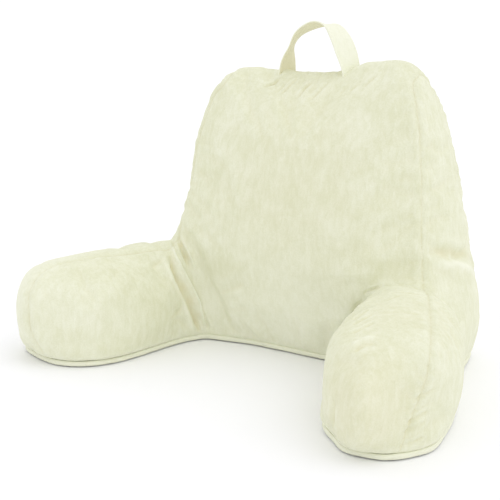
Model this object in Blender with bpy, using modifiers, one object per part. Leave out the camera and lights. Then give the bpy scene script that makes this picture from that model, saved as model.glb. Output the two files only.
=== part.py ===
"""Reading pillow: a leaning filled back with two arms, a carry strap and a welt round its base."""
import math

import bmesh
import bpy
from mathutils import Vector
from mathutils.bvhtree import BVHTree

# Sizes in metres. The front and the arms face -Y, and the floor is at z = 0.
crown = 0.020
rear_swell = 0.012
corner_pull = 0.008
top_crown = 0.004
top_edge_drop = 0.006
root_crease = 0.55
gap = 0.0003

# Back: half width, front face and rear face at each height, the extra half width at the front,
# and the share of the crown.
back_levels = [
    {"height": 0.000, "half": 0.252, "flare": 0.024, "front": 0.008, "rear": 0.216, "bulge": 0.0},
    {"height": 0.036, "half": 0.259, "flare": 0.028, "front": 0.003, "rear": 0.222, "bulge": 0.0},
    {"height": 0.112, "half": 0.254, "flare": 0.026, "front": 0.000, "rear": 0.219, "bulge": 0.5},
    {"height": 0.158, "half": 0.237, "flare": 0.008, "front": 0.006, "rear": 0.214, "bulge": 0.8},
    {"height": 0.225, "half": 0.224, "flare": 0.000, "front": 0.010, "rear": 0.206, "bulge": 1.1},
    {"height": 0.325, "half": 0.210, "flare": 0.000, "front": 0.018, "rear": 0.180, "bulge": 1.0},
    {"height": 0.415, "half": 0.193, "flare": 0.000, "front": 0.028, "rear": 0.152, "bulge": 0.5},
    {"height": 0.452, "half": 0.174, "flare": 0.000, "front": 0.044, "rear": 0.130, "bulge": 0.0},
]
# Half width of the seat panel on each side, at the levels where the arms are sewn in.
root_halves = {-1: [0.129, 0.132, 0.152, 0.180], 1: [0.129, 0.130, 0.140, 0.150]}
arm_level = len(root_halves[1]) - 1
top_level = len(back_levels) - 1
# Sideways lean of the back at each level.
back_sway = [0.0, 0.0, 0.0, 0.004, 0.007, 0.004, 0.001, 0.000]
# Columns of the cage from the left: place between the root and the side below the arm level,
# share of the half width at the top, the rise of the top, and the setback of the base edge.
back_columns = [
    {"side": -1, "low": 1.00, "high": 1.00, "rise": -0.014, "tuck": 0.000},
    {"side": -1, "low": 0.75, "high": 0.80, "rise": 0.004, "tuck": 0.000},
    {"side": -1, "low": 0.25, "high": 0.58, "rise": 0.002, "tuck": 0.000},
    {"side": -1, "low": 0.00, "high": 0.32, "rise": -0.002, "tuck": 0.008},
    {"side": 1, "low": 0.00, "high": 0.32, "rise": 0.003, "tuck": 0.024},
    {"side": 1, "low": 0.25, "high": 0.58, "rise": 0.026, "tuck": 0.006},
    {"side": 1, "low": 0.75, "high": 0.80, "rise": 0.033, "tuck": 0.000},
    {"side": 1, "low": 1.00, "high": 1.00, "rise": -0.004, "tuck": 0.000},
]
back_rows = [0.0, 0.24, 0.76, 1.0]

# Arms: distance from the root along the axis, the inner and outer side measured outward from
# the root, the height, and how far the inner side leans outward at the top.
arm_stations = [
    {"along": 0.060, "inner": 0.020, "outer": 0.166, "height": 0.166, "lean": 0.022},
    {"along": 0.150, "inner": -0.002, "outer": 0.176, "height": 0.162, "lean": 0.012},
    {"along": 0.245, "inner": -0.010, "outer": 0.182, "height": 0.160, "lean": 0.004},
    {"along": 0.302, "inner": 0.042, "outer": 0.130, "height": 0.143, "lean": 0.000},
]
arm_across = [0.0, 0.23, 0.77, 1.0]
arm_up = [0.0, 0.26, 0.76, 1.0]
arm_shoulder = 0.018
shoulder_pull = 0.12
toe_lift = 0.006
# Each arm: its splay, the scale of its length and height, the extra width of its end on the
# outer side, the dome of its end, the lift of its lower inner edge, the share of the lean, and
# how far its upper inner edge is rounded at each station.
arms = [
    {
        "name": "arm_left",
        "side": -1,
        "splay": math.radians(18),
        "reach": 1.0,
        "full": 0.965,
        "tip": 0.010,
        "dome": 0.028,
        "edge": 0.008,
        "lean": 1.0,
        "shoulders": [1.0, 1.0, 1.0, 1.0],
    },
    {
        "name": "arm_right",
        "side": 1,
        "splay": math.radians(13),
        "reach": 1.02,
        "full": 1.0,
        "tip": -0.030,
        "dome": 0.046,
        "edge": 0.000,
        "lean": 0.3,
        "shoulders": [0.0, 0.5, 1.0, 1.0],
    },
]

# Carry strap: stations of its centre line, and its turn about the vertical.
strap_width = 0.040
strap_thick = 0.003
strap_line = [
    {"x": -0.0620, "rise": -0.012, "turn": 12},
    {"x": -0.0610, "rise": 0.012, "turn": 4},
    {"x": -0.0560, "rise": 0.036, "turn": -14},
    {"x": -0.0400, "rise": 0.060, "turn": -14},
    {"x": -0.0130, "rise": 0.0755, "turn": 2},
    {"x": 0.0140, "rise": 0.0735, "turn": 16},
    {"x": 0.0310, "rise": 0.0555, "turn": 26},
    {"x": 0.0420, "rise": 0.033, "turn": 30},
    {"x": 0.0510, "rise": 0.009, "turn": 22},
    {"x": 0.0530, "rise": -0.014, "turn": 16},
]

# Welt: a thin cord sewn along the bottom seam.
welt_radius = 0.0038
welt_height = 0.0058
welt_spacing = 0.012


def clear_scene():
    for thing in list(bpy.data.objects):
        bpy.data.objects.remove(thing, do_unlink=True)


def new_collection(name):
    group = bpy.data.collections.new(name)
    bpy.context.scene.collection.children.link(group)
    return group


def make_material(name, colour, roughness):
    material = bpy.data.materials.new(name)
    material.use_nodes = True
    shader = material.node_tree.nodes["Principled BSDF"]
    shader.inputs["Base Color"].default_value = (*colour, 1)
    shader.inputs["Roughness"].default_value = roughness
    shader.inputs["Metallic"].default_value = 0
    return material


def blend(a, b, share):
    return a + (b - a) * share


def arm_share(k, column):
    half = back_levels[k]["half"]
    return blend(root_halves[column["side"]][k], half, column["low"]) / half


def back_point(i, j, k):
    level = back_levels[k]
    column = back_columns[i]
    depth = back_rows[j]
    front = j == 0
    half = level["half"] + level["flare"] * (1 - depth)
    if k <= arm_level:
        x = half * arm_share(k, column)
    else:
        up = (k - arm_level) / (top_level - arm_level)
        x = half * blend(arm_share(arm_level, column), column["high"], up)
    tuck = column["tuck"] if k < arm_level else 0
    y = blend(level["front"] + tuck, level["rear"], depth)
    inner = column["low"] == 0
    if front and inner:
        y -= crown * level["bulge"]
    if front and column["low"] == 0.25 and k >= arm_level:
        y -= crown * level["bulge"] * 0.75
    if depth == 1 and 0 < k < top_level and column["low"] < 1:
        y += rear_swell
    z = level["height"]
    if k == top_level:
        z += column["rise"] + (top_crown if 0 < depth < 1 else -top_edge_drop)
    if column["low"] == 1 and depth in (0, 1):
        x -= corner_pull
    x = x * column["side"] + back_sway[k]
    return Vector((x, y, z))


def block_cage():
    cage = bmesh.new()
    bmesh.ops.create_cube(cage, size=1)
    counts = (len(back_columns) - 1, len(back_rows) - 1, len(back_levels) - 1)
    for axis, count in enumerate(counts):
        for step in range(1, count):
            spot = [0, 0, 0]
            spot[axis] = step / count - 0.5
            facing = [0, 0, 0]
            facing[axis] = 1
            bmesh.ops.bisect_plane(
                cage,
                geom=cage.verts[:] + cage.edges[:] + cage.faces[:],
                dist=0.00001,
                plane_co=spot,
                plane_no=facing,
            )
    index = {}
    for vert in cage.verts:
        index[vert] = tuple(round((vert.co[n] + 0.5) * counts[n]) for n in range(3))
    return cage, index


def arm_point(arm, station, a, b):
    side = arm["side"]
    splay = arm["splay"]
    forward = Vector((side * math.sin(splay), -math.cos(splay), 0))
    outward = Vector((side * math.cos(splay), math.sin(splay), 0))
    root = Vector((side * root_halves[side][0], back_levels[0]["front"], 0))
    inner = station["inner"] + station["lean"] * arm["lean"] * arm_up[b] ** 2
    toe = station is arm_stations[-1]
    outer = station["outer"] + (arm["tip"] if toe else 0)
    across = blend(inner, outer, arm_across[a])
    along = station["along"] * arm["reach"]
    z = blend(toe_lift if toe else 0, station["height"] * arm["full"], arm_up[b])
    corner = a in (0, 3)
    if corner and b == 3:
        z -= arm_shoulder * (arm["shoulders"][arm_stations.index(station)] if a == 0 else 1)
        across = blend(across, (station["inner"] + station["outer"]) / 2, shoulder_pull)
    if toe and not corner and b in (1, 2):
        along += arm["dome"]
    if a == 0 and b == 0:
        z += arm["edge"]
    return root + outward * across + forward * along + Vector((0, 0, z))


def grow_arm(cage, index, arm):
    side = arm["side"]
    columns = (3, 2, 1, 0) if side < 0 else (4, 5, 6, 7)
    faces = []
    for face in cage.faces:
        spots = [index[vert] for vert in face.verts]
        low = all(spot[1] == 0 and spot[2] <= arm_level for spot in spots)
        if low and all(spot[0] in columns for spot in spots):
            faces.append(face)
    grid = {}
    for face in faces:
        for vert in face.verts:
            spot = index[vert]
            grid[vert] = (columns.index(spot[0]), spot[2])
    made = []
    for number, station in enumerate(arm_stations):
        old = {tuple(round(c, 6) for c in vert.co): grid[vert] for vert in grid}
        under = faces
        result = bmesh.ops.extrude_face_region(cage, geom=under)
        new_verts = [item for item in result["geom"] if isinstance(item, bmesh.types.BMVert)]
        grid = {vert: old[tuple(round(c, 6) for c in vert.co)] for vert in new_verts}
        faces = [item for item in result["geom"] if isinstance(item, bmesh.types.BMFace)]
        bmesh.ops.delete(cage, geom=under, context="FACES")
        for vert in new_verts:
            vert.co = arm_point(arm, station, *grid[vert])
            index[vert] = (side, -1, number)
        made += new_verts
    return {vert for vert in made if vert.is_valid}


def build_form():
    cage, index = block_cage()
    for vert, spot in index.items():
        vert.co = back_point(*spot)
    arm_verts = {}
    for arm in arms:
        arm_verts[arm["side"]] = grow_arm(cage, index, arm)
    for face in cage.faces:
        face.smooth = True
        for number, arm in enumerate(arms):
            if any(vert in arm_verts[arm["side"]] for vert in face.verts):
                face.material_index = number + 1
    crease = cage.edges.layers.float.new("crease_edge")
    for edge in cage.edges:
        kinds = {face.material_index for face in edge.link_faces}
        if len(kinds) > 1:
            edge[crease] = root_crease
    bmesh.ops.recalc_face_normals(cage, faces=cage.faces[:])
    mesh = bpy.data.meshes.new("form")
    cage.to_mesh(mesh)
    cage.free()
    form = bpy.data.objects.new("form", mesh)
    bpy.context.scene.collection.objects.link(form)
    round_off = form.modifiers.new("round", "SUBSURF")
    round_off.levels = 2
    round_off.render_levels = 2
    bpy.context.view_layer.update()
    shape = bpy.data.meshes.new_from_object(form.evaluated_get(bpy.context.evaluated_depsgraph_get()))
    bpy.data.objects.remove(form, do_unlink=True)
    return shape


def root_loop(form, kind):
    loop = set()
    for edge in form.edges:
        kinds = {face.material_index for face in edge.link_faces}
        if kinds == {0, kind}:
            loop.update(edge.verts)
    return loop


def flatten_roots(shape):
    form = bmesh.new()
    form.from_mesh(shape)
    for vert in form.verts:
        vert.co.z = max(vert.co.z, 0.0)
    for number in range(len(arms)):
        loop = root_loop(form, number + 1)
        level = sum(vert.co.y for vert in loop) / len(loop)
        for vert in loop:
            vert.co.y = level
    form.to_mesh(shape)
    form.free()


def cut_piece(shape, name, kind, material, group):
    piece = bmesh.new()
    piece.from_mesh(shape)
    loop = set()
    for number in range(len(arms)):
        if kind in (0, number + 1):
            loop |= root_loop(piece, number + 1)
    if kind:
        for vert in loop:
            vert.co.y -= gap
    away = [face for face in piece.faces if face.material_index != kind]
    bmesh.ops.delete(piece, geom=away, context="FACES")
    rim = [edge for edge in piece.edges if edge.is_boundary]
    bmesh.ops.holes_fill(piece, edges=rim, sides=0)
    for face in piece.faces:
        face.material_index = 0
    bmesh.ops.dissolve_limit(
        piece, angle_limit=math.radians(0.3), verts=piece.verts[:], edges=piece.edges[:]
    )
    bmesh.ops.recalc_face_normals(piece, faces=piece.faces[:])
    bmesh.ops.triangulate(piece, faces=piece.faces[:])
    mesh = bpy.data.meshes.new(name)
    piece.to_mesh(mesh)
    piece.free()
    mesh.materials.append(material)
    thing = bpy.data.objects.new(name, mesh)
    group.objects.link(thing)
    return thing


def surface_tree(shape):
    form = bmesh.new()
    form.from_mesh(shape)
    tree = BVHTree.FromBMesh(form)
    form.free()
    return tree


def base_outline(shape):
    form = bmesh.new()
    form.from_mesh(shape)
    cut = bmesh.ops.bisect_plane(
        form,
        geom=form.verts[:] + form.edges[:] + form.faces[:],
        dist=0.000001,
        plane_co=(0, 0, welt_height),
        plane_no=(0, 0, 1),
    )
    edges = [item for item in cut["geom_cut"] if isinstance(item, bmesh.types.BMEdge)]
    links = {}
    for edge in edges:
        for vert in edge.verts:
            links.setdefault(vert, []).append(edge.other_vert(vert))
    start = min(links, key=lambda vert: (vert.co.y, vert.co.x))
    path = [start]
    last = None
    here = start
    for _ in range(len(links) - 1):
        ahead = [vert for vert in links[here] if vert != last]
        last, here = here, ahead[0]
        path.append(here)
    points = [vert.co.copy() for vert in path]
    form.free()
    return points


def even_points(points, spacing):
    closed = points + [points[0]]
    lengths = [0.0]
    for a, b in zip(closed, closed[1:]):
        lengths.append(lengths[-1] + (b - a).length)
    count = round(lengths[-1] / spacing)
    result = []
    spot = 0
    for n in range(count):
        goal = lengths[-1] * n / count
        while lengths[spot + 1] < goal:
            spot += 1
        span = lengths[spot + 1] - lengths[spot]
        share = (goal - lengths[spot]) / span if span else 0
        result.append(closed[spot].lerp(closed[spot + 1], share))
    return result


def seat_on_side(tree, point, reach):
    for _ in range(4):
        spot, normal, _, _ = tree.find_nearest(point)
        away = point - spot
        clear = math.copysign(away.length, away.dot(normal))
        level = Vector((normal.x, normal.y, 0)).normalized()
        point = point + level * (reach - clear)
    return point


def make_welt(shape, material, group):
    tree = surface_tree(shape)
    points = even_points(base_outline(shape), welt_spacing)
    reach = welt_radius + gap + 0.0002
    count = len(points)
    for point in points:
        point.z = welt_height
    for _ in range(14):
        points = [
            points[n] * 0.5 + (points[n - 1] + points[(n + 1) % count]) * 0.25 for n in range(count)
        ]
        points = [seat_on_side(tree, point, reach) for point in points]
    for _ in range(3):
        extra = [0.0] * count
        for n in range(count):
            middle = (points[n] + points[(n + 1) % count]) / 2
            short = (seat_on_side(tree, middle, reach) - middle).length
            spot, normal, _, _ = tree.find_nearest(middle)
            if (middle - spot).length < reach or (middle - spot).dot(normal) < 0:
                extra[n] = max(extra[n], short)
                extra[(n + 1) % count] = max(extra[(n + 1) % count], short)
        for n in range(count):
            spot, normal, _, _ = tree.find_nearest(points[n])
            points[n] = points[n] + Vector((normal.x, normal.y, 0)).normalized() * extra[n]
    line = bpy.data.curves.new("base_welt", "CURVE")
    line.dimensions = "3D"
    line.bevel_depth = welt_radius
    line.bevel_resolution = 1
    line.resolution_u = 1
    line.render_resolution_u = 0
    line.use_fill_caps = True
    run = line.splines.new("POLY")
    run.points.add(len(points) - 1)
    for spot, point in zip(run.points, points):
        spot.co = (*point, 1)
    run.use_cyclic_u = True
    line.materials.append(material)
    welt = bpy.data.objects.new("base_welt", line)
    group.objects.link(welt)


def smooth_line(rows, keys, steps):
    result = []
    for n in range(len(rows) - 1):
        before = rows[max(n - 1, 0)]
        after = rows[min(n + 2, len(rows) - 1)]
        for step in range(steps):
            t = step / steps
            spot = {}
            for key in keys:
                p0, p1, p2, p3 = before[key], rows[n][key], rows[n + 1][key], after[key]
                spot[key] = 0.5 * (
                    2 * p1
                    + (p2 - p0) * t
                    + (2 * p0 - 5 * p1 + 4 * p2 - p3) * t * t
                    + (3 * p1 - p0 - 3 * p2 + p3) * t ** 3
                )
            result.append(spot)
    result.append(rows[-1])
    return result


def make_strap(shape, back, material, group, cutters):
    tree = surface_tree(shape)
    top_y = (back_levels[top_level]["front"] + back_levels[top_level]["rear"]) / 2
    seat, _, _, _ = tree.ray_cast(Vector((0, top_y, 1)), Vector((0, 0, -1)))
    stations = smooth_line(strap_line, ("x", "rise", "turn"), 3)
    strap = bmesh.new()
    rings = []
    for n, station in enumerate(stations):
        before = stations[max(n - 1, 0)]
        after = stations[min(n + 1, len(stations) - 1)]
        run = Vector((after["x"] - before["x"], 0, after["rise"] - before["rise"])).normalized()
        turn = math.radians(station["turn"])
        wide = Vector((math.sin(turn), math.cos(turn), 0))
        wide = (wide - run * wide.dot(run)).normalized()
        thick = run.cross(wide)
        middle = Vector((station["x"], top_y, seat.z + station["rise"]))
        ring = []
        for side, up in ((-1, -1), (1, -1), (1, 1), (-1, 1)):
            spot = middle + wide * (side * strap_width / 2) + thick * (up * strap_thick / 2)
            ring.append(strap.verts.new(spot))
        rings.append(ring)
    for first, second in zip(rings, rings[1:]):
        for n in range(4):
            m = (n + 1) % 4
            strap.faces.new((first[n], first[m], second[m], second[n]))
    strap.faces.new(rings[0][::-1])
    strap.faces.new(rings[-1])
    bmesh.ops.recalc_face_normals(strap, faces=strap.faces[:])
    mesh = bpy.data.meshes.new("carry_strap")
    strap.to_mesh(mesh)
    strap.free()
    mesh.materials.append(material)
    thing = bpy.data.objects.new("carry_strap", mesh)
    group.objects.link(thing)
    cutter = bpy.data.objects.new("strap_foot_cutter", back.data.copy())
    cutter.hide_render = True
    cutter.display_type = "WIRE"
    cutters.objects.link(cutter)
    swell = cutter.modifiers.new("swell", "DISPLACE")
    swell.strength = gap
    swell.mid_level = 0
    trim = thing.modifiers.new("trim", "BOOLEAN")
    trim.operation = "DIFFERENCE"
    trim.solver = "EXACT"
    trim.object = cutter


def centre_on_base(group, cutters):
    depsgraph = bpy.context.evaluated_depsgraph_get()
    corners = []
    for thing in group.objects:
        shape = thing.evaluated_get(depsgraph).to_mesh()
        corners += [vert.co.copy() for vert in shape.vertices]
    low = [min(corner[axis] for corner in corners) for axis in range(3)]
    high = [max(corner[axis] for corner in corners) for axis in range(3)]
    middle = Vector(((low[0] + high[0]) / 2, (low[1] + high[1]) / 2, low[2]))
    for thing in list(group.objects) + list(cutters.objects):
        thing.location = -middle


def main():
    clear_scene()
    group = new_collection("reading_pillow")
    cutters = new_collection("cutters")
    velour = (0.78, 0.77, 0.58)
    arm_velour = (0.80, 0.80, 0.62)
    trim_velour = (0.84, 0.85, 0.69)
    shape = build_form()
    flatten_roots(shape)
    back = cut_piece(shape, "backrest", 0, make_material("back velour", velour, 0.95), group)
    for number, arm in enumerate(arms):
        material = make_material(arm["name"] + " velour", arm_velour, 0.95)
        cut_piece(shape, arm["name"], number + 1, material, group)
    make_strap(shape, back, make_material("strap velour", trim_velour, 0.9), group, cutters)
    make_welt(shape, make_material("welt velour", trim_velour, 0.9), group)
    centre_on_base(group, cutters)
    bpy.data.meshes.remove(shape)


main()
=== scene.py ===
import math

import bpy
import numpy as np
from mathutils import Matrix, Vector, noise
from mathutils.bvhtree import BVHTree


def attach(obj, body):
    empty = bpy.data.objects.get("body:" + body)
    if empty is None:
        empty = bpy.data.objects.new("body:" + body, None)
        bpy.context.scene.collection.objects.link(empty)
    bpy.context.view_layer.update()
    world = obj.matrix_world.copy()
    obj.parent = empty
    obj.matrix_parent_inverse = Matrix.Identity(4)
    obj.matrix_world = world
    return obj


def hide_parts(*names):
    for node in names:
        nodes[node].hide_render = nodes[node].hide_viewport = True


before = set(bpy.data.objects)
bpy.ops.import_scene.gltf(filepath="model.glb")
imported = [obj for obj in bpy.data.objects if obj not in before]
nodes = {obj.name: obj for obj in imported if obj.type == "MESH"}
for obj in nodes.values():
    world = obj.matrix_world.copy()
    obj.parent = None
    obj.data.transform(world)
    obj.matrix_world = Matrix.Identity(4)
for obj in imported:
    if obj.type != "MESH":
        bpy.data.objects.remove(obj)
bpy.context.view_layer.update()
scene = bpy.context.scene
outOfReach = 1.0    # metres, the distance that a point has from a line that doesn't reach it


def deselectAll():
    if bpy.context.object and bpy.context.object.mode != "OBJECT":
        bpy.ops.object.mode_set(mode="OBJECT")
    bpy.ops.object.select_all(action="DESELECT")


def pick(*pieces):
    deselectAll()
    for piece in pieces:
        piece.select_set(True)
    bpy.context.view_layer.objects.active = pieces[0]


def applyAll(piece):
    pick(piece)
    for modifier in list(piece.modifiers):
        bpy.ops.object.modifier_apply(modifier=modifier.name)


def subdivide(piece, name, levels):
    finer = piece.modifiers.new(name, "SUBSURF")
    finer.levels = levels
    finer.render_levels = levels
    applyAll(piece)


def faceOutwards(piece, mergeWithin=0.0):
    pick(piece)
    bpy.ops.object.mode_set(mode="EDIT")
    bpy.ops.mesh.select_all(action="SELECT")
    if mergeWithin:
        bpy.ops.mesh.remove_doubles(threshold=mergeWithin)
    bpy.ops.mesh.normals_make_consistent(inside=False)
    bpy.ops.object.mode_set(mode="OBJECT")


def copyNode(nodeName, pieceName):
    # a CAD node is loose triangles, so the copy is merged before anything else
    piece = bpy.data.objects.new(pieceName, nodes[nodeName].data.copy())
    scene.collection.objects.link(piece)
    faceOutwards(piece, mergeWithin=0.00005)
    return piece


def dress(piece, material):
    pick(piece)
    bpy.ops.object.shade_smooth()
    piece.data.materials.clear()
    piece.data.materials.append(material)


def readPoints(piece):
    spots = np.empty(len(piece.data.vertices) * 3)
    piece.data.vertices.foreach_get("co", spots)
    return spots.reshape(-1, 3)


def writePoints(piece, spots):
    piece.data.vertices.foreach_set("co", spots.ravel())
    piece.data.update()


def readNormals(piece):
    facing = np.empty(len(piece.data.vertices) * 3)
    piece.data.vertex_normals.foreach_get("vector", facing)
    return facing.reshape(-1, 3)


def writeAttribute(piece, name, values):
    layer = piece.data.attributes.new(name, "FLOAT", "POINT")
    layer.data.foreach_set("value", np.asarray(values, dtype=np.float32))


def bell(distance, width):
    # 1 in the middle, fading out over the width
    return np.exp(-(distance / width) ** 2)


def around(spots, place, radius):
    return bell(np.linalg.norm(spots - np.array(place), axis=1), radius)


def smoothed(piece, values, rounds):
    # averages a value over the neighbouring points
    edges = np.empty(len(piece.data.edges) * 2, dtype=np.int64)
    piece.data.edges.foreach_get("vertices", edges)
    first, second = edges[0::2], edges[1::2]
    count = np.bincount(first, minlength=len(values)) + np.bincount(second, minlength=len(values))
    flat = values.reshape(len(values), -1).astype(float)
    for _ in range(rounds):
        total = np.zeros_like(flat)
        for axis in range(flat.shape[1]):
            total[:, axis] += np.bincount(first, flat[second, axis], minlength=len(flat))
            total[:, axis] += np.bincount(second, flat[first, axis], minlength=len(flat))
        flat = 0.5 * flat + 0.5 * total / count[:, None]
    return flat.reshape(values.shape)


def gather(spots, seed):
    # even, repeatable lumps between -1 and 1
    shift = Vector((seed * 1.7, seed * 0.6, seed * 2.3))
    return np.array([noise.noise(Vector(spot) + shift) for spot in spots])


def curveThrough(points, spacing=0.003):
    # a smooth line through the points of a table, cut into even steps
    rows = [Vector(point) for point in points]
    rows = [rows[0] * 2 - rows[1]] + rows + [rows[-1] * 2 - rows[-2]]
    line = []
    for n in range(1, len(rows) - 2):
        a, b, c, d = rows[n - 1:n + 3]
        steps = max(2, int((c - b).length / spacing))
        for step in range(steps):
            t = step / steps
            line.append(0.5 * (2 * b + (c - a) * t + (2 * a - 5 * b + 4 * c - d) * t * t
                               + (3 * b - a - 3 * c + d) * t ** 3))
    line.append(rows[-2])
    return line


def surfaceTree(piece):
    return BVHTree.FromObject(piece, bpy.context.evaluated_depsgraph_get())


def layOn(tree, points, spacing=0.003):
    # the nearest places on a surface to a smooth line through the points
    return np.array([tree.find_nearest(spot)[0] for spot in curveThrough(points, spacing)])


def alongLine(spots, facing, line, reach):
    # distance from a line, the side of it, the share of its length, and its length
    span = np.full(len(spots), outOfReach)
    side = np.zeros(len(spots))
    share = np.zeros(len(spots))
    steps = np.linalg.norm(np.diff(line, axis=0), axis=1)
    gone = np.concatenate([[0], np.cumsum(steps)])
    low = line.min(0) - reach
    high = line.max(0) + reach
    near = np.where(((spots > low) & (spots < high)).all(1))[0]
    here = spots[near]
    best = np.full(len(near), outOfReach)
    bestSide = np.zeros(len(near))
    bestShare = np.zeros(len(near))
    for n in range(len(line) - 1):
        run = line[n + 1] - line[n]
        length = max(steps[n], 1e-9)
        t = np.clip(((here - line[n]) @ run) / length ** 2, 0, 1)
        away = here - (line[n] + t[:, None] * run)
        far = np.linalg.norm(away, axis=1)
        closer = far < best
        best[closer] = far[closer]
        cross = np.cross(run / length, facing[near][closer])
        bestSide[closer] = np.sign((cross * away[closer]).sum(1))
        bestShare[closer] = (gone[n] + t[closer] * steps[n]) / gone[-1]
    span[near] = best
    side[near] = bestSide
    share[near] = bestShare
    return span, side, share, gone[-1]


def toLinear(code):
    parts = [int(code[n:n + 2], 16) / 255 for n in (1, 3, 5)]
    return tuple(c / 12.92 if c <= 0.04045 else ((c + 0.055) / 1.055) ** 2.4 for c in parts) + (1,)


def addNode(tree, kind, settings, links):
    # settings name a socket or a property, links name a socket and where it comes from
    node = tree.nodes.new(kind)
    for key, value in settings.items():
        if isinstance(key, int) or (key[0].isupper() and key in node.inputs):
            node.inputs[key].default_value = value
        else:
            setattr(node, key, value)
    for socket, source in links.items():
        tree.links.new(source, node.inputs[socket])
    return node


velourLook = {
    "pale": "#ECEDD8",      # pile lying towards the light
    "deep": "#DEDFC1",      # pile lying away from it
    "shade": "#DCD5AF",     # painted shade in the tucks and hollows; also the colour of the seams' dark lines
    "paintedHighlight": "#F7F8E8",      # painted highlight on the brow of a fold and wherever light falls
    "halo": "#FBFBEF",      # tint of the sheen
    "patch": 0.045,         # metres, size of the brushed patches
    "streak": 0.007,        # metres, width of the strokes in the nap
    "pile": 0.0022,         # metres; real pile is 1 mm, drawn coarser so that it shows
    "patchShares": (0.16, 0.64),    # from deep to pale, in the patches
    "streakShares": (-0.22, 0.26),  # what the strokes add to that
    "pileShares": (-0.24, 0.24),    # what the pile adds to that
    "stitch": (0.0003, 0.0018),     # metres from a seam's middle, where its shade starts and ends to fade
    "stitchShade": 0.28,
    "browLight": 0.75,
    "roughness": 0.92,
    "specular": 0.22,
    "sheen": 0.30,
    "sheenRoughness": 0.45,
    "relief": 0.0009,       # metres, height of the nap
}


def makeVelour(name, paintedLightShare=0.0, seams=False):
    # polyester velour, knitted and sheared: a soft matt ground with brushed patches and a faint halo
    look = velourLook
    material = bpy.data.materials.new(name)
    material.use_nodes = True
    tree = material.node_tree
    shader = tree.nodes["Principled BSDF"]
    shader.inputs["Roughness"].default_value = look["roughness"]
    shader.inputs["Specular IOR Level"].default_value = look["specular"]
    shader.inputs["Sheen Weight"].default_value = look["sheen"]
    shader.inputs["Sheen Roughness"].default_value = look["sheenRoughness"]
    shader.inputs["Sheen Tint"].default_value = toLinear(look["halo"])
    where = addNode(tree, "ShaderNodeTexCoord", {}, {}).outputs["Object"]
    patches = addNode(tree, "ShaderNodeTexNoise", {
        "Scale": 1 / look["patch"], "Detail": 4.0, "Roughness": 0.62, "Distortion": 0.7,
    }, {"Vector": where})
    # strokes of the hand run down the cloth and a little across
    turned = addNode(tree, "ShaderNodeMapping", {
        "Rotation": (0.3, 0.5, 0.2), "Scale": (1, 1, 0.28),
    }, {"Vector": where})
    strokes = addNode(tree, "ShaderNodeTexNoise", {
        "Scale": 1 / look["streak"], "Detail": 3.0, "Roughness": 0.6, "Distortion": 0.5,
    }, {"Vector": turned.outputs["Vector"]})
    pile = addNode(tree, "ShaderNodeTexNoise", {
        "Scale": 1 / look["pile"], "Detail": 2.0, "Roughness": 0.7,
    }, {"Vector": where})
    patchShare = addNode(tree, "ShaderNodeMapRange", {
        "From Min": 0.34, "From Max": 0.66,
        "To Min": look["patchShares"][0], "To Max": look["patchShares"][1],
    }, {"Value": patches.outputs["Fac"]})
    strokeShare = addNode(tree, "ShaderNodeMapRange", {
        "From Min": 0.35, "From Max": 0.65,
        "To Min": look["streakShares"][0] + paintedLightShare, "To Max": look["streakShares"][1] + paintedLightShare,
    }, {"Value": strokes.outputs["Fac"]})
    pileShare = addNode(tree, "ShaderNodeMapRange", {
        "From Min": 0.3, "From Max": 0.7,
        "To Min": look["pileShares"][0], "To Max": look["pileShares"][1],
    }, {"Value": pile.outputs["Fac"]})
    both = addNode(tree, "ShaderNodeMath", {"operation": "ADD"}, {
        0: patchShare.outputs["Result"], 1: strokeShare.outputs["Result"]})
    nap = addNode(tree, "ShaderNodeMath", {"operation": "ADD", "use_clamp": True}, {
        0: both.outputs["Value"], 1: pileShare.outputs["Result"]})
    ground = addNode(tree, "ShaderNodeMix", {
        "data_type": "RGBA", 6: toLinear(look["deep"]), 7: toLinear(look["pale"]),
    }, {0: nap.outputs["Value"]})
    colour = ground.outputs[2]
    height = addNode(tree, "ShaderNodeMath", {"operation": "MULTIPLY_ADD", 1: 0.35}, {
        0: strokes.outputs["Fac"], 2: pile.outputs["Fac"]}).outputs["Value"]
    if seams:
        # painted shade and painted highlight, read from the points' attributes, then the seams' dark lines
        paintedShade = addNode(tree, "ShaderNodeAttribute", {"attribute_name": "paintedShade"}, {})
        paintedShadeMix = addNode(tree, "ShaderNodeMix", {
            "data_type": "RGBA", 7: toLinear(look["shade"]),
        }, {0: paintedShade.outputs["Fac"], 6: colour})
        paintedHighlight = addNode(tree, "ShaderNodeAttribute", {"attribute_name": "paintedHighlight"}, {})
        browShare = addNode(tree, "ShaderNodeMath", {
            "operation": "MULTIPLY", 1: look["browLight"],
        }, {0: paintedHighlight.outputs["Fac"]})
        paintedHighlightMix = addNode(tree, "ShaderNodeMix", {
            "data_type": "RGBA", 7: toLinear(look["paintedHighlight"]),
        }, {0: browShare.outputs["Value"], 6: paintedShadeMix.outputs[2]})
        seam = addNode(tree, "ShaderNodeAttribute", {"attribute_name": "seam"}, {})
        stitch = addNode(tree, "ShaderNodeMapRange", {
            "interpolation_type": "SMOOTHSTEP", "From Min": look["stitch"][0], "From Max": look["stitch"][1],
            "To Min": look["stitchShade"], "To Max": 0.0,
        }, {"Value": seam.outputs["Fac"]})
        line = addNode(tree, "ShaderNodeMix", {
            "data_type": "RGBA", 7: toLinear(look["shade"]),
        }, {0: stitch.outputs["Result"], 6: paintedHighlightMix.outputs[2]})
        colour = line.outputs[2]
        height = addNode(tree, "ShaderNodeMath", {"operation": "MULTIPLY_ADD", 1: -2.5}, {
            0: stitch.outputs["Result"], 2: height}).outputs["Value"]
    tree.links.new(colour, shader.inputs["Base Color"])
    bump = addNode(tree, "ShaderNodeBump", {"Strength": 0.55, "Distance": look["relief"]}, {"Height": height})
    tree.links.new(bump.outputs["Normal"], shader.inputs["Normal"])
    return material


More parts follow.
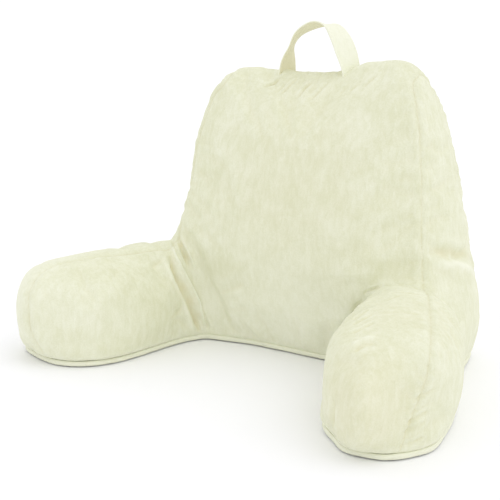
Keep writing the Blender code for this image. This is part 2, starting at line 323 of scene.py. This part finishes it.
cover = {
    "voxel": 0.0062,       # metres, size of the remeshed squares
    "rootBand": 0.0006,    # metres, how deep the layer of points at an arm's root is
    "rootReach": 0.008,    # metres that this layer is pushed into the back, so that they join
    "softness": 0.0016,    # height of the broad lumps in the fill
    "lumps": (14, 34),     # how many broad and small lumps to a metre
    "smallLumps": 0.45,    # height of the small ones, as a share of the broad ones
    "footFrom": 0.006,     # metres over the ground, where the relief starts
    "footFade": 0.012,     # metres over which it grows to its full height
    "rimLight": 0.8,       # painted light on the foot, where light comes up from the floor: how pale it is
    "rimHeight": 0.024,
    "cornerRounds": 140,   # how often a soft corner is smoothed
    "cornerFoot": (0.010, 0.025),      # metres: it starts at this height and takes this much to grow
}

# how the cloth fills
fill = {
    "shrink": 0.005,       # how much smaller it starts before it is filled
    "pressure": 4.0,
    "slack": 0.03,         # share of spare cloth, which makes the small wrinkles
    "frames": 20,
    "cap": 0.022,          # the most that a point may move while it fills
    "flatUnder": 0.004,    # metres, what is lower lies flat on the ground
    "footHeight": 0.009,   # metres, up to where the bottom seam holds the foot
    "held": 0.0042,        # metres from a seam that don't move
    "freeFrom": 0.004,     # metres from a seam, where the cloth starts to swell
    "freeOver": 0.030,     # metres over which it swells to the full
}

# shape of a sewn line
seamShape = {
    "groove": 0.0019,      # depth
    "width": 0.0036,
    "topShare": 0.45,      # share of the depth along the top, where the cloth is pulled flat
    "roll": (0.45, 0.010, 0.006),      # swell beside it: share of the depth, place and width
    "pucker": 0.0006,      # height of the gathers that run across it
    "puckerStep": 0.017,   # metres from one gather to the next
    "puckerReach": 0.009,
    "endFade": 0.02,       # metres over which it starts and ends
}

# shape of a fold
foldShape = {
    "deepFrom": 0.0045,    # metres, a fold as deep as this runs almost to its ends
    "lip": (0.30, 2.1, 0.9),           # lips of a valley: share of the depth, place and width in widths
    "fullShade": 0.006,    # depth of a valley whose painted shade is as deep as it gets
    "fullLip": 0.008,      # depth of a valley whose lips get the most painted highlight
    "fullRidge": 0.004,    # height of a ridge that gets the most painted highlight
    "fineUnder": 0.0065,   # metres, narrower folds get squares of half the size
    "fineReach": (2.2, 0.003),         # how far from it: widths, and metres more
}

# sewn lines, as points in metres: down the front corner of the back, along the arm and over its end
seamLines = {
    "rightCorner": [
        (.172, .122, .462), (.174, .099, .451), (.186, .088, .430), (.201, .078, .388),
        (.213, .069, .330), (.222, .062, .272), (.228, .055, .229), (.237, .048, .175),
        (.252, .022, .160), (.269, -.011, .159), (.306, -.097, .157), (.333, -.165, .142),
        (.341, -.190, .101), (.337, -.200, .069), (.330, -.208, .040), (.322, -.212, .012)],
    "leftCorner": [
        (-.140, .112, .442), (-.144, .084, .430), (-.161, .074, .410), (-.172, .066, .369),
        (-.182, .061, .319), (-.192, .057, .267), (-.202, .051, .216), (-.204, .036, .166),
        (-.199, .012, .150), (-.210, -.014, .151), (-.233, -.065, .154), (-.254, -.110, .154),
        (-.280, -.157, .149), (-.294, -.186, .139), (-.295, -.214, .124), (-.287, -.234, .091),
        (-.281, -.235, .055), (-.271, -.228, .031), (-.268, -.224, .010)],
    "topMiddle": [
        (-.140, .112, .442), (-.100, .124, .460), (-.050, .129, .460), (.000, .129, .460),
        (.050, .129, .466), (.100, .130, .478), (.140, .126, .478), (.172, .122, .462)],
    "rearRight": [
        (.172, .122, .462), (.186, .160, .440), (.200, .186, .390), (.212, .206, .320),
        (.224, .232, .230), (.240, .250, .150), (.250, .256, .080), (.248, .250, .012)],
    "rearLeft": [
        (-.140, .112, .442), (-.166, .160, .420), (-.178, .186, .380), (-.190, .206, .320),
        (-.204, .232, .230), (-.222, .250, .150), (-.238, .256, .080), (-.234, .250, .012)],
}

# folds, as points in metres, with the depth and width of each; a ridge stands up, a valley goes in
folds = [
    {"kind": "valley", "depth": .0062, "width": .0060, "line": [
        (-.190, .000, .149), (-.172, -.009, .124), (-.165, -.001, .101), (-.158, .010, .076),
        (-.150, .021, .045), (-.145, .030, .021)]},
    {"kind": "ridge", "depth": .0034, "width": .0024, "line": [
        (-.212, .029, .158), (-.187, .008, .149), (-.175, .007, .134), (-.166, .014, .114),
        (-.159, .022, .094), (-.151, .033, .067), (-.144, .037, .039), (-.139, .043, .013)]},
    {"kind": "valley", "depth": .0036, "width": .0040, "line": [
        (-.207, .047, .170), (-.186, .029, .156), (-.173, .025, .141), (-.166, .030, .120)]},
    {"kind": "ridge", "depth": .0018, "width": .0022, "line": [
        (-.196, .046, .166), (-.176, .036, .150), (-.164, .034, .128), (-.156, .040, .104)]},
    {"kind": "ridge", "depth": .0018, "width": .0020, "line": [
        (-.147, .029, .040), (-.145, .033, .027), (-.143, .037, .014)]},
    {"kind": "ridge", "depth": .0018, "width": .0022, "line": [
        (-.145, .040, .059), (-.138, .043, .040), (-.130, .047, .020)]},
    {"kind": "valley", "depth": .0020, "width": .0024, "line": [
        (-.150, .037, .060), (-.142, .041, .036), (-.136, .045, .016)]},
    {"kind": "valley", "depth": .0050, "width": .0060, "line": [
        (.142, .044, .118), (.140, .042, .090), (.140, .040, .050), (.142, .038, .012)]},
    {"kind": "valley", "depth": .0010, "width": .0036, "line": [
        (.118, .051, .102), (.136, .050, .122), (.156, .050, .133)]},
    {"kind": "valley", "depth": .0030, "width": .0050, "line": [
        (.250, -.230, .139), (.258, -.216, .145), (.274, -.203, .150)]},
    {"kind": "ridge", "depth": .0017, "width": .0050, "line": [
        (.246, -.220, .142), (.254, -.206, .148), (.270, -.192, .152)]},
    {"kind": "valley", "depth": .0030, "width": .0050, "line": [
        (.246, -.243, .078), (.243, -.240, .055), (.239, -.235, .034)]},
    {"kind": "ridge", "depth": .0026, "width": .0070, "line": [
        (.238, .058, .192), (.246, .100, .184), (.252, .150, .170), (.255, .221, .143)]},
    {"kind": "valley", "depth": .0026, "width": .0080, "line": [
        (.232, .062, .208), (.240, .104, .204), (.246, .152, .192), (.248, .215, .170)]},
    {"kind": "ridge", "depth": .0026, "width": .0070, "line": [
        (-.222, .060, .192), (-.232, .100, .182), (-.238, .150, .168), (-.240, .215, .146)]},
    {"kind": "valley", "depth": .0028, "width": .0080, "line": [
        (-.214, .064, .212), (-.224, .104, .202), (-.230, .152, .190), (-.234, .215, .170)]},
]

# fans of fine wrinkles: the first and last one of each, each from one end to the other, and how many
fans = [
    {"count": 4, "depth": .0024, "width": .0032,
     "first": [(.150, .030, .140), (.184, .026, .156)],
     "last": [(.204, -.125, .148), (.221, -.087, .160)]},
    {"count": 5, "depth": .0022, "width": .0032,
     "first": [(.208, -.136, .151), (.221, -.087, .160)],
     "last": [(.235, -.195, .149), (.253, -.160, .157)]},
    {"count": 4, "depth": .0024, "width": .0030,
     "first": [(.199, .044, .160), (.262, .010, .162)],
     "last": [(.226, -.070, .162), (.274, -.014, .162)]},
    {"count": 2, "depth": .0014, "width": .0036,
     "first": [(.239, -.094, .161), (.259, -.070, .162)],
     "last": [(.246, -.130, .158), (.300, -.096, .160)]},
    {"count": 5, "depth": .0018, "width": .0027,
     "first": [(.327, -.205, .077), (.346, -.174, .092)],
     "last": [(.318, -.214, .024), (.345, -.177, .034)]},
    {"count": 8, "depth": .0020, "width": .0028,
     "first": [(.026, .101, .454), (.007, .069, .421)],
     "last": [(-.062, .104, .453), (-.078, .079, .436)]},
    {"count": 4, "depth": .0018, "width": .0030,
     "first": [(.072, .092, .457), (.062, .076, .436)],
     "last": [(.116, .090, .466), (.100, .078, .444)]},
    {"count": 3, "depth": .0016, "width": .0050,
     "first": [(-.110, .046, .120), (-.060, .036, .160)],
     "last": [(-.106, .044, .060), (-.050, .040, .076)]},
    {"count": 3, "depth": .0016, "width": .0040,
     "first": [(-.196, -.010, .146), (-.206, -.052, .128)],
     "last": [(-.166, .000, .070), (-.182, -.040, .060)]},
]

# broad dents and swells of the fill: place, radius and height
dents = [
    ((.270, -.250, .127), .024, -.0036), ((.328, -.216, .092), .020, -.0030),
    ((-.336, -.164, .132), .036, .0060), ((-.250, -.145, .080), .045, .0024),
    ((.029, .035, .265), .110, .0030), ((-.100, .045, .330), .070, -.0018),
    ((.120, .045, .300), .080, -.0018), ((.250, -.105, .159), .050, .0020),
    ((.232, -.222, .070), .045, .0070), ((.285, -.265, .050), .040, .0010),
    ((.345, -.200, .050), .040, -.0006), ((.186, -.080, .050), .060, .0070),
    ((.152, .006, .132), .046, .0150), ((.178, -.062, .140), .040, .0080),
    ((.086, .128, .470), .027, .0090), ((.180, .120, .472), .038, .0080),
    ((.010, .120, .462), .040, .0026), ((-.240, .030, .158), .050, .0062),
    ((-.186, .068, .320), .055, .0042), ((-.056, .117, .458), .017, .0060),
    ((-.354, -.150, .075), .045, .0034),
]

# painted light: spots made a little paler, to lift shade there: place, radius and share
paintedLightSpots = [
    ((.040, .042, .070), .105, .50), ((-.060, .040, .050), .080, .40), ((-.125, .045, .075), .050, .45),
    ((-.350, -.150, .080), .085, .90), ((-.240, -.180, .075), .070, .15),
]

# painted shade: spots drawn deeper in colour, above all at the left arm's root: place, radius and share
paintedShadeSpots = [
    ((-.170, -.006, .112), .012, .45), ((-.163, .002, .094), .015, .75),
    ((-.156, .014, .070), .013, .80), ((-.150, .024, .044), .009, .70),
    ((-.190, .034, .158), .010, .60), ((-.176, .028, .142), .009, .60),
    ((.020, .036, .300), .140, .13), ((.270, -.110, .160), .080, .14), ((.280, -.250, .080), .075, .34),
]

# the end of the right arm is drawn in at its corners: place in plan, radius and shift
endShifts = [
    ((.215, -.222), .036, (.007, .004)), ((.306, -.226), .046, (.001, -.004)),
    ((.362, -.112), .048, (-.0095, .000)), ((.346, -.050), .040, (-.002, .000)),
]

# where the filling rounds off a corner: a line, and how far it reaches
softCorners = [
    {"reach": .024, "line": [
        (-.180, .050, .160), (-.150, .046, .115), (-.130, .046, .060), (-.122, .046, .012)]},
    {"reach": .030, "line": [
        (.140, .044, .070), (.144, .044, .110), (.158, .044, .146), (.190, .046, .162), (.238, .052, .170)]},
]


def easeEnd(spots):
    # strongest at the foot, fading up the arm
    height = np.clip(1.15 - spots[:, 2] / 0.11, 0, 1)
    moved = spots.copy()
    for place, radius, shift in endShifts:
        weight = around(spots[:, :2], place, radius) * height
        moved[:, :2] += weight[:, None] * np.array(shift)
    return moved


def spreadFans():
    # the wrinkles of a fan are never quite even in place, bow and size
    rows = []
    for number, fan in enumerate(fans):
        for n in range(fan["count"]):
            share = n / (fan["count"] - 1) + 0.08 * math.sin(n * 2.7 + number)
            start, end = (Vector(a).lerp(Vector(b), share) for a, b in zip(fan["first"], fan["last"]))
            middle = start.lerp(end, 0.5) + Vector((0, 0, 0.002 * math.sin(n * 1.9 + number)))
            size = 0.75 + 0.35 * math.sin(n * 3.1 + number * 1.7)
            rows.append({"kind": "valley", "depth": fan["depth"] * size, "width": fan["width"],
                         "line": [start, middle, end]})
    return rows


def buildCover():
    back = copyNode("backrest", "cushionCover")
    parts = [back]
    for nodeName in ("arm_left", "arm_right"):
        arm = copyNode(nodeName, nodeName + "Part")
        spots = readPoints(arm)
        root = spots[:, 1] > spots[:, 1].max() - cover["rootBand"]
        spots[root, 1] += cover["rootReach"]
        writePoints(arm, spots)
        parts.append(arm)
    pick(*parts)
    bpy.ops.object.join()
    remesh = back.modifiers.new("even squares", "REMESH")
    remesh.mode = "VOXEL"
    remesh.voxel_size = cover["voxel"]
    even = back.modifiers.new("even out", "SMOOTH")
    even.factor = 0.5
    even.iterations = 3
    applyAll(back)
    writePoints(back, easeEnd(readPoints(back)))
    print("cover remeshed to", len(back.data.vertices), "points")
    return back


def fillCover(piece):
    start = readPoints(piece)
    facing = readNormals(piece)
    start[:, 2] = np.where(start[:, 2] < fill["flatUnder"], 0.0, start[:, 2])
    # the cloth is held along its seams, in the left arm's creases and at the foot
    tree = surfaceTree(piece)
    sewn = np.full(len(start), outOfReach)
    for points in list(seamLines.values()) + [row["line"] for row in folds[:2]]:
        sewn = np.minimum(sewn, alongLine(start, facing, layOn(tree, points, 0.006), 0.05)[0])
    sewn = np.minimum(sewn, np.maximum(start[:, 2] - fill["footHeight"], 0))
    lift = np.clip((sewn - fill["freeFrom"]) / fill["freeOver"], 0, 1)
    small = start - facing * (fill["shrink"] * lift)[:, None]
    writePoints(piece, small)
    pins = piece.vertex_groups.new(name="held")
    pins.add([int(n) for n in np.where(sewn < fill["held"])[0]], 1.0, "REPLACE")
    cloth = piece.modifiers.new("fill", "CLOTH")
    settings = cloth.settings
    settings.quality = 4
    settings.mass = 0.3
    settings.tension_stiffness = 15
    settings.compression_stiffness = 15
    settings.shear_stiffness = 5
    settings.bending_stiffness = 0.5
    settings.use_pressure = True
    settings.uniform_pressure_force = fill["pressure"]
    settings.shrink_min = -fill["slack"]
    settings.vertex_group_mass = "held"
    settings.effector_weights.gravity = 0
    cloth.collision_settings.use_collision = False
    cloth.point_cache.frame_start = 1
    cloth.point_cache.frame_end = fill["frames"]
    for number in range(1, fill["frames"] + 1):
        scene.frame_set(number)
    pick(piece)
    bpy.ops.object.modifier_apply(modifier=cloth.name)
    move = readPoints(piece) - small
    far = np.linalg.norm(move, axis=1)
    print("filled: middle move", round(float(np.median(far)), 4), "most", round(float(far.max()), 4))
    move *= np.minimum(1, fill["cap"] / np.maximum(far, 1e-9))[:, None]
    full = small + move
    full[:, 2] = np.maximum(full[:, 2], 0)
    writePoints(piece, full)
    scene.frame_set(1)


def roundCorners(piece):
    spots = readPoints(piece)
    facing = readNormals(piece)
    tree = surfaceTree(piece)
    low, grow = cover["cornerFoot"]
    for row in softCorners:
        span = alongLine(spots, facing, layOn(tree, row["line"]), row["reach"] * 1.5)[0]
        # the foot keeps its line
        weight = np.clip(1.3 - span / row["reach"], 0, 1) * np.clip((spots[:, 2] - low) / grow, 0, 1)
        weight = weight[:, None]
        spots = spots * (1 - weight) + smoothed(piece, spots, cover["cornerRounds"]) * weight
    writePoints(piece, spots)


def refineFolds(piece):
    # the squares are halved where the folds and wrinkles run, so that they come out crisp
    spots = readPoints(piece)
    facing = readNormals(piece)
    tree = surfaceTree(piece)
    near = np.zeros(len(spots), dtype=bool)
    widths, more = foldShape["fineReach"]
    for row in folds + spreadFans():
        if row["width"] < foldShape["fineUnder"]:
            span = alongLine(spots, facing, layOn(tree, row["line"]), 0.02)[0]
            near |= span < row["width"] * widths + more
    pick(piece)
    bpy.ops.object.mode_set(mode="EDIT")
    bpy.ops.mesh.select_mode(type="VERT")
    bpy.ops.mesh.select_all(action="DESELECT")
    bpy.ops.object.mode_set(mode="OBJECT")
    piece.data.vertices.foreach_set("select", near)
    bpy.ops.object.mode_set(mode="EDIT")
    bpy.ops.mesh.subdivide(number_cuts=1, smoothness=0)
    bpy.ops.object.mode_set(mode="OBJECT")
    print("squares halved along the folds,", len(piece.data.vertices), "points")


def pullSeams(spots, facing, tree, move):
    # draws the seams into the cover and gives each point's distance from the nearest one
    nearest = np.full(len(spots), 0.05)
    rollShare, rollAt, rollWidth = seamShape["roll"]
    reach = seamShape["puckerReach"]
    for number, (name, points) in enumerate(seamLines.items()):
        span, side, share, length = alongLine(spots, facing, layOn(tree, points), 0.06)
        nearest = np.minimum(nearest, span)
        ends = np.clip(np.minimum(share, 1 - share) * length / seamShape["endFade"], 0.25, 1)
        groove = seamShape["groove"] * (seamShape["topShare"] if name == "topMiddle" else 1)
        move -= ends * groove * bell(span, seamShape["width"])
        move += ends * groove * rollShare * bell(span - rollAt, rollWidth)
        # gathers run across the seam and die out within a few centimetres
        gone = share * length
        beat = np.sin(gone * 2 * math.pi / seamShape["puckerStep"] + side * 1.1
                      + 2.2 * np.sin(gone * 31 + number))
        strength = 0.5 + 0.5 * np.sin(gone * 23 + number * 2.1)
        move += seamShape["pucker"] * beat * strength * bell(span - reach, reach) * ends
    return nearest


def pressFolds(spots, facing, tree, move):
    # lays the folds and wrinkles, and gives how much painted shade lies in their valleys and how much painted
    # highlight on their lips and ridges
    paintedShade = np.zeros(len(spots))
    paintedHighlight = np.zeros(len(spots))
    lipShare, lipAt, lipWidth = foldShape["lip"]
    for number, row in enumerate(folds + spreadFans()):
        depth, width = row["depth"], row["width"]
        span, side, share, length = alongLine(spots, facing, layOn(tree, row["line"]), width * 6)
        if depth > foldShape["deepFrom"]:
            taper = np.clip(np.minimum(share * 5 + 0.2, (1 - share) * 6 + 0.5), 0, 1)
        else:
            taper = np.clip(np.sin(np.pi * np.clip(share, 0, 1)) * 1.7, 0, 1)
        wave = 1 + 0.22 * np.sin(share * 9 + number * 1.3)
        body = bell(span, width) * taper * wave
        if row["kind"] == "valley":
            lips = bell(span - width * lipAt, width * lipWidth) * taper
            move += depth * (lipShare * lips - body)
            paintedShade = np.maximum(paintedShade, body * min(1, depth / foldShape["fullShade"]))
            paintedHighlight = np.maximum(paintedHighlight, lips * min(1, depth / foldShape["fullLip"]) * 0.7)
        else:
            move += depth * body
            paintedHighlight = np.maximum(paintedHighlight, body * min(1, depth / foldShape["fullRidge"]))
    return paintedShade, paintedHighlight


def sewCover(piece):
    subdivide(piece, "finer", 1)
    roundCorners(piece)
    refineFolds(piece)
    spots = readPoints(piece)
    facing = smoothed(piece, readNormals(piece), 4)
    facing /= np.linalg.norm(facing, axis=1)[:, None]
    tree = surfaceTree(piece)
    # the filling makes broad, shallow lumps, and smaller ones between them
    broad, fine = cover["lumps"]
    move = cover["softness"] * gather(spots * broad, 3)
    move += cover["softness"] * cover["smallLumps"] * gather(spots * fine, 8)
    for place, radius, height in dents:
        move += height * around(spots, place, radius)
    nearSeam = pullSeams(spots, facing, tree, move)
    paintedShade, paintedHighlight = pressFolds(spots, facing, tree, move)
    # painted light: the listed spots are made paler
    for place, radius, share in paintedLightSpots:
        paintedHighlight = np.maximum(paintedHighlight, share * around(spots, place, radius))
    # painted light: the rim of the foot is made paler, as it catches light from the floor
    paintedHighlight = np.maximum(paintedHighlight, cover["rimLight"] * np.clip(1 - spots[:, 2] / cover["rimHeight"], 0, 1))
    lift = np.clip((spots[:, 2] - cover["footFrom"]) / cover["footFade"], 0, 1)
    spots = spots + facing * (move * lift)[:, None]
    spots[:, 2] = np.maximum(spots[:, 2], 0)
    writePoints(piece, spots)
    # painted shade: hollows, valleys and the listed spots are drawn deeper in colour, where shade falls
    hollow = ((smoothed(piece, spots, 3) - spots) * readNormals(piece)).sum(1)
    for place, radius, share in paintedShadeSpots:
        paintedShade = np.maximum(paintedShade, 1.6 * share * around(spots, place, radius))
    paintedShade = np.clip(0.55 * paintedShade + smoothed(piece, np.clip(hollow / 0.0012, -0.3, 1), 1) * 0.5, 0, 1)
    writeAttribute(piece, "paintedShade", smoothed(piece, paintedShade, 1))
    writeAttribute(piece, "paintedHighlight", paintedHighlight)
    writeAttribute(piece, "seam", nearSeam)
    dress(piece, makeVelour("brushed velour cover", seams=True))
    print("cover sewn,", len(piece.data.polygons), "faces")


strap = {
    "width": 0.040,
    "thick": 0.0030,
    "cup": 0.0025,         # how far its edges curl
    "hem": (0.0009, 0.16, 0.07),    # stitched line along its edges: depth, place and width in half widths
    "topMiddle": (0.007, 0.1295),   # metres, where its middle stands on the top seam
    "rows": 14,            # squares across
    "spacing": 0.0025,     # metres from one row of squares to the next
    # metres along x, height over the top, turn about the vertical and tilt about its own run in degrees
    "line": [
        (-.0543, -.010, 16, 0), (-.0533, .014, 5, 0), (-.0484, .038, -20, -2), (-.0339, .0588, -24, -14),
        (-.0068, .0728, -10, -13), (.0176, .0720, 10, 1), (.0348, .0550, 25, 3), (.0470, .0330, 30, 2),
        (.0556, .011, 22, 0), (.0598, -.012, 16, 0)],
    "shade": (0.58, 0.12),          # of its inner side, and how much less of it near the top
}


def buildStrap(tree):
    topX, topY = strap["topMiddle"]
    seat = tree.ray_cast(Vector((topX, topY, 1)), Vector((0, 0, -1)))[0].z
    # the angles are made small beside the metres, so that they add no steps
    shrunk = 1000
    middles = curveThrough([(x, rise, turn / shrunk, tilt / shrunk) for x, rise, turn, tilt in strap["line"]],
                           strap["spacing"])
    last = len(middles) - 1
    bpy.ops.mesh.primitive_grid_add(x_subdivisions=strap["rows"], y_subdivisions=last, size=1)
    piece = bpy.context.object
    piece.name = "carryStrap"
    length = 0.0
    frames = []
    for n, (x, rise, turn, tilt) in enumerate(middles):
        before = middles[max(n - 1, 0)]
        after = middles[min(n + 1, last)]
        run = Vector((after[0] - before[0], 0, after[1] - before[1])).normalized()
        turn = math.radians(turn * shrunk)
        wide = Vector((math.sin(turn), math.cos(turn), 0))
        wide = (wide - run * wide.dot(run)).normalized()
        wide.rotate(Matrix.Rotation(math.radians(tilt * shrunk), 3, run))
        centre = Vector((x, topY, seat + rise))
        if frames:
            length += (centre - frames[-1][0]).length
        frames.append((centre, wide, run.cross(wide)))
    spots = readPoints(piece)
    hemDepth, hemAt, hemWidth = strap["hem"]
    for number, spot in enumerate(spots.copy()):
        centre, wide, thick = frames[round((spot[1] + 0.5) * last)]
        across = spot[0] * 2
        hem = hemDepth * math.exp(-((1 - abs(across) - hemAt) / hemWidth) ** 2)
        bulge = strap["cup"] * across ** 2 - hem
        spots[number] = centre + wide * (across * strap["width"] / 2) + thick * bulge
    writePoints(piece, spots)
    wall = piece.modifiers.new("cloth", "SOLIDIFY")
    wall.thickness = strap["thick"]
    wall.offset = 0
    subdivide(piece, "soft edge", 2)
    faceOutwards(piece)
    # painted shade: the side that faces the hand lies in its own shade, so it is drawn deeper in colour
    spots = readPoints(piece)
    inward = np.array((topX, topY, seat + 0.03)) - spots
    inner = np.clip((inward * readNormals(piece)).sum(1) / 0.012, 0, 1)
    upper = np.clip((spots[:, 2] - seat - 0.036) / 0.016, 0, 1) * np.clip(1 - spots[:, 0] / 0.02, 0, 1)
    shade, less = strap["shade"]
    writeAttribute(piece, "paintedShade", inner * (shade - less * upper))
    # painted highlight on the outer side, which faces the light
    writeAttribute(piece, "paintedHighlight", 0.75 * (1 - np.clip(inner * 2, 0, 1)))
    writeAttribute(piece, "seam", np.full(len(spots), 0.05))
    # painted light: the strap is drawn as a paler copy of the cover's velour, as light falls on it
    dress(piece, makeVelour("sheared velour strap", paintedLightShare=0.24, seams=True))
    print("strap made,", round(length, 3), "m long")
    return piece, length


welt = {
    "proud": 0.0006,       # metres that its middle stands out of the cover
    "taller": 1.25,        # times the height of its solid
    "dimple": 0.00035,     # metres, where the bias strip pulls tight between stitches
    "lowest": 0.0005,      # metres over the ground
}


def buildWelt(tree):
    piece = copyNode("base_welt", "baseWelt")
    spots = easeEnd(readPoints(piece))
    middle = (spots[:, 2].max() + spots[:, 2].min()) / 2
    level = np.zeros_like(spots)
    gap = np.zeros(len(spots))
    for number, spot in enumerate(spots):
        here = Vector((spot[0], spot[1], middle))
        near, facing, face, far = tree.find_nearest(here)
        level[number, :2] = Vector((facing.x, facing.y)).normalized()
        gap[number] = (here - near).dot(Vector(level[number]))
    # it follows the cover's foot, sewn in by more than half of its thickness
    level = smoothed(piece, level, 6)
    spots -= level * (smoothed(piece, gap, 12) - welt["proud"])[:, None]
    spots[:, 2] = middle + (spots[:, 2] - middle) * welt["taller"]
    writePoints(piece, spots)
    subdivide(piece, "round", 2)
    spots = readPoints(piece)
    spots += readNormals(piece) * (welt["dimple"] * gather(spots * 90, 5))[:, None]
    spots[:, 2] = np.maximum(spots[:, 2], welt["lowest"])
    writePoints(piece, spots)
    # painted light: the welt is drawn as a paler copy of the cover's velour, as light falls on it
    dress(piece, makeVelour("velour welt", paintedLightShare=0.80))
    print("welt made,", len(piece.data.polygons), "faces")
    return piece


studio = {
    "floor": "#FBFBFE",
    "radius": 30.0,
    "rim": (4.0, 2.2),     # its height in metres, and how many times wider its upper edge is
    "sky": 1.0,
    "sun": 0.35,
    "sunTurn": (28, 0, 100),        # degrees
    "sunSize": 60,         # degrees, as wide as a softbox close by
}


def buildFloor():
    bpy.ops.mesh.primitive_circle_add(vertices=96, radius=studio["radius"], fill_type="NGON",
                                      location=(0, 0, 0))
    floor = bpy.context.object
    floor.name = "paleFloor"
    rise, wider = studio["rim"]
    bpy.ops.object.mode_set(mode="EDIT")
    bpy.ops.mesh.select_all(action="SELECT")
    # a shallow rim hides the edge of the room
    bpy.ops.mesh.extrude_region_move(TRANSFORM_OT_translate={"value": (0, 0, rise)})
    bpy.ops.transform.resize(value=(wider, wider, 1))
    bpy.ops.mesh.delete(type="FACE")
    bpy.ops.object.mode_set(mode="OBJECT")
    # background paper, matt and without gloss
    paper = bpy.data.materials.new("matt paper floor")
    paper.use_nodes = True
    shader = paper.node_tree.nodes["Principled BSDF"]
    shader.inputs["Base Color"].default_value = toLinear(studio["floor"])
    shader.inputs["Roughness"].default_value = 1.0
    shader.inputs["Specular IOR Level"].default_value = 0.0
    floor.data.materials.append(paper)
    return floor


def buildLight():
    world = bpy.data.worlds.new("bright room")
    world.use_nodes = True
    sky = world.node_tree.nodes["Background"]
    sky.inputs["Color"].default_value = (1, 1, 1, 1)
    sky.inputs["Strength"].default_value = studio["sky"]
    scene.world = world
    bpy.ops.object.light_add(type="SUN", rotation=[math.radians(a) for a in studio["sunTurn"]])
    sun = bpy.context.object
    sun.name = "softBox"
    sun.data.energy = studio["sun"]
    sun.data.angle = math.radians(studio["sunSize"])
    scene.view_settings.view_transform = "Standard"
    scene.view_settings.look = "None"


# where the photograph was taken from: metres, degrees and millimetres
view = {
    "place": (0.7601, -1.3592, 0.5628),
    "yaw": 30.364,
    "pitch": 13.604,
    "roll": 2.433,
    "lens": 73.91,
}


def buildCamera():
    turn = (Matrix.Rotation(math.radians(view["yaw"]), 4, "Z")
            @ Matrix.Rotation(math.radians(90 - view["pitch"]), 4, "X")
            @ Matrix.Rotation(math.radians(view["roll"]), 4, "Z"))
    camera = bpy.data.cameras.new("photoView")
    camera.lens = view["lens"]
    camera.sensor_width = 36
    camera.clip_end = 500
    holder = bpy.data.objects.new("photoView", camera)
    scene.collection.objects.link(holder)
    holder.matrix_world = Matrix.Translation(view["place"]) @ turn
    scene.camera = holder


buildCamera()
buildLight()
floorPiece = buildFloor()
print("studio ready")

coverPiece = buildCover()
fillCover(coverPiece)
sewCover(coverPiece)
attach(coverPiece, "root")
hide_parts("backrest", "arm_left", "arm_right")

coverTree = surfaceTree(coverPiece)
strapPiece, strapLength = buildStrap(coverTree)
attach(strapPiece, "root")
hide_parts("carry_strap")

weltPiece = buildWelt(coverTree)
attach(weltPiece, "root")
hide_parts("base_welt")

deselectAll()
